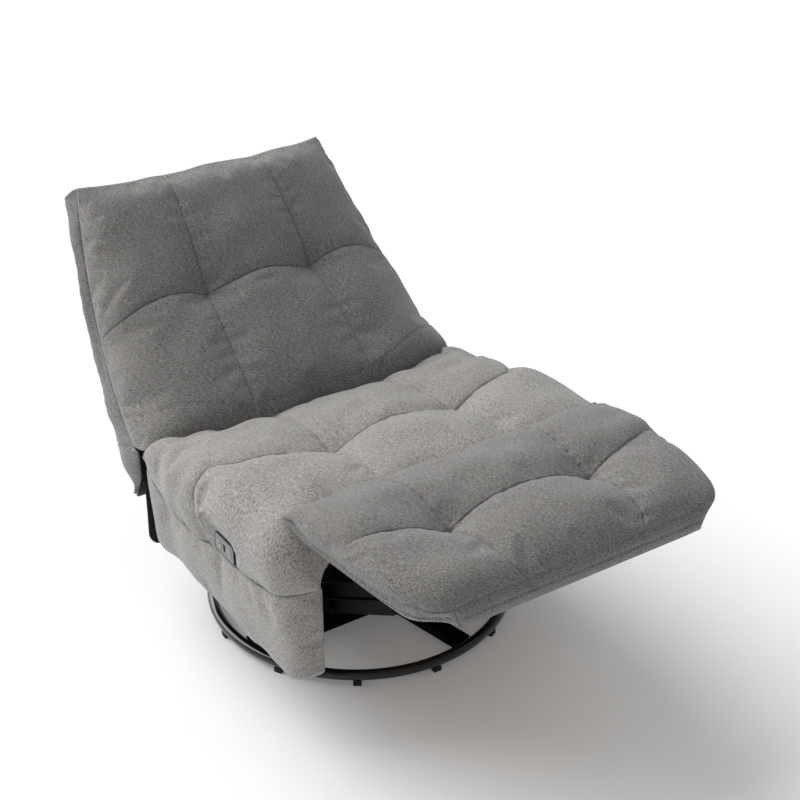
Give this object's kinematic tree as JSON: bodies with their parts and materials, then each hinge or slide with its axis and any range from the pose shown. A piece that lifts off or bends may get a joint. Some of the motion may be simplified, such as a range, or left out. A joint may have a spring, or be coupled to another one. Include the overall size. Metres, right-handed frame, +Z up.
{
  "type": "swivel glider recliner",
  "caption": "Upholstered swivel glider recliner on a round floor ring, leaned back with its tufted footrest out on folding links.",
  "frame": {"origin": "centre of the chair's outline in plan, on the floor, in the leaned back pose", "axes": "+Z up, the sitter faces -Y, +X is the sitter's left"},
  "size_m": [0.7756, 1.417, 0.78],
  "materials": {
    "seat_fabric": "soft heathered woven",
    "footrest_fabric": "soft heathered woven",
    "back_fabric": "soft heathered woven",
    "lining": "matte",
    "black_steel": "gloss",
    "plated_steel": "satin",
    "timber": "sawn",
    "rubber_feet": "matte",
    "black_plastic": "matte",
    "control_grey": "satin"
  },
  "bodies": {
    "base": {"base_ring": "black_steel", "base_cross": "black_steel", "foot_01": "rubber_feet", "foot_02": "rubber_feet", "foot_03": "rubber_feet", "foot_04": "rubber_feet", "foot_05": "rubber_feet", "foot_06": "rubber_feet", "foot_07": "rubber_feet", "foot_08": "rubber_feet", "foot_09": "rubber_feet", "foot_10": "rubber_feet", "foot_11": "rubber_feet", "foot_12": "rubber_feet", "swivel_lower_plate": "black_steel"},
    "swivel": {"swivel_upper_plate": "black_steel", "glider_frame": "black_steel"},
    "glide_link_fl": {"glide_link_front_left": "plated_steel"},
    "glide_link_fr": {"glide_link_front_right": "plated_steel"},
    "glide_link_rl": {"glide_link_rear_left": "plated_steel"},
    "glide_link_rr": {"glide_link_rear_right": "plated_steel"},
    "platform": {"platform_frame": "black_steel", "side_plate_left": "black_steel", "side_plate_right": "black_steel", "seat_rail_front": "timber", "seat_rail_rear": "timber", "seat_spring_1": "plated_steel", "seat_spring_2": "plated_steel", "seat_spring_3": "plated_steel", "seat_spring_4": "plated_steel", "seat_cushion": "seat_fabric", "side_panel_left": "seat_fabric", "side_panel_right": "seat_fabric", "seat_rear_lining": "lining", "control_plate": "control_grey", "usb_socket": "black_plastic", "control_box": "black_plastic", "actuator_motor": "black_plastic"},
    "open_button": {"button_open": "control_grey"},
    "close_button": {"button_close": "control_grey"},
    "lift": {"lift_link_left": "black_steel", "lift_link_right": "black_steel", "drive_tube": "black_steel"},
    "guide": {"guide_link_left": "black_steel", "guide_link_right": "black_steel"},
    "extension": {"extension_link_left": "black_steel", "extension_link_right": "black_steel"},
    "toggle": {"toggle_link_left": "black_steel", "toggle_link_right": "black_steel"},
    "footrest": {"footrest_bracket_left": "black_steel", "footrest_bracket_right": "black_steel", "footrest_board": "timber", "footrest_pad": "footrest_fabric"},
    "rod": {"actuator_rod": "plated_steel"},
    "back": {"back_bracket_left": "black_steel", "back_bracket_right": "black_steel", "back_frame": "timber", "back_cushion": "back_fabric", "back_cover": "back_fabric"}
  },
  "joints": [
    {"name": "swivel_turn", "type": "hinge", "parent": "base", "child": "swivel", "pos_m": [0, 0.0395, 0], "axis": [0, 0, 1], "range_deg": [-135, 135]},
    {"name": "glide", "type": "hinge", "parent": "swivel", "child": "glide_link_fl", "pos_m": [0, -0.0405, 0.215], "axis": [1, 0, 0], "range_deg": [-25, 25]},
    {"name": "platform_level", "type": "hinge", "parent": "glide_link_fl", "child": "platform", "pos_m": [0, -0.0405, 0.135], "axis": [1, 0, 0], "range_deg": [-25, 25]},
    {"name": "glide_front_right", "type": "hinge", "parent": "swivel", "child": "glide_link_fr", "pos_m": [0, -0.0405, 0.215], "axis": [1, 0, 0], "range_deg": [-25, 25]},
    {"name": "glide_rear_left", "type": "hinge", "parent": "swivel", "child": "glide_link_rl", "pos_m": [0, 0.1195, 0.215], "axis": [1, 0, 0], "range_deg": [-25, 25]},
    {"name": "glide_rear_right", "type": "hinge", "parent": "swivel", "child": "glide_link_rr", "pos_m": [0, 0.1195, 0.215], "axis": [1, 0, 0], "range_deg": [-25, 25]},
    {"name": "footrest_lift", "type": "hinge", "parent": "platform", "child": "lift", "pos_m": [0, -0.1425, 0.338], "axis": [1, 0, 0], "range_deg": [0, 88]},
    {"name": "guide_pivot", "type": "hinge", "parent": "platform", "child": "guide", "pos_m": [0, -0.083, 0.3021], "axis": [1, 0, 0], "range_deg": [0, 88]},
    {"name": "extension_pivot", "type": "hinge", "parent": "lift", "child": "extension", "pos_m": [0, -0.28169, 0.31546], "axis": [1, 0, 0], "range_deg": [-88, 0]},
    {"name": "toggle_pivot", "type": "hinge", "parent": "lift", "child": "toggle", "pos_m": [0, -0.33154, 0.30738], "axis": [1, 0, 0], "range_deg": [-88, 0]},
    {"name": "bracket_pivot", "type": "hinge", "parent": "extension", "child": "footrest", "pos_m": [0, -0.48784, 0.43932], "axis": [1, 0, 0], "range_deg": [0, 88]},
    {"name": "rod_slide", "type": "slide", "parent": "platform", "child": "rod", "axis": [0, 1, 0], "range_m": [0, 0.1112]},
    {"name": "back_recline", "type": "hinge", "parent": "platform", "child": "back", "pos_m": [0, 0.2115, 0.392], "axis": [1, 0, 0], "range_deg": [0, 37]},
    {"name": "open_press", "type": "slide", "parent": "platform", "child": "open_button", "axis": [1, 0, 0], "range_m": [0, 0.0015], "stiffness_N_per_m": 400},
    {"name": "close_press", "type": "slide", "parent": "platform", "child": "close_button", "axis": [1, 0, 0], "range_m": [0, 0.0015], "stiffness_N_per_m": 400}
  ],
  "couplings": [
    {"joint": "platform_level", "follows": "glide", "ratio": -1},
    {"joint": "glide_front_right", "follows": "glide", "ratio": 1},
    {"joint": "glide_rear_left", "follows": "glide", "ratio": 1},
    {"joint": "glide_rear_right", "follows": "glide", "ratio": 1},
    {"joint": "guide_pivot", "follows": "footrest_lift", "ratio": 1},
    {"joint": "extension_pivot", "follows": "footrest_lift", "ratio": -1},
    {"joint": "toggle_pivot", "follows": "footrest_lift", "ratio": -1},
    {"joint": "bracket_pivot", "follows": "footrest_lift", "ratio": 1},
    {"joint": "rod_slide", "follows": "footrest_lift", "m_per_rad": 0.07237}
  ]
}
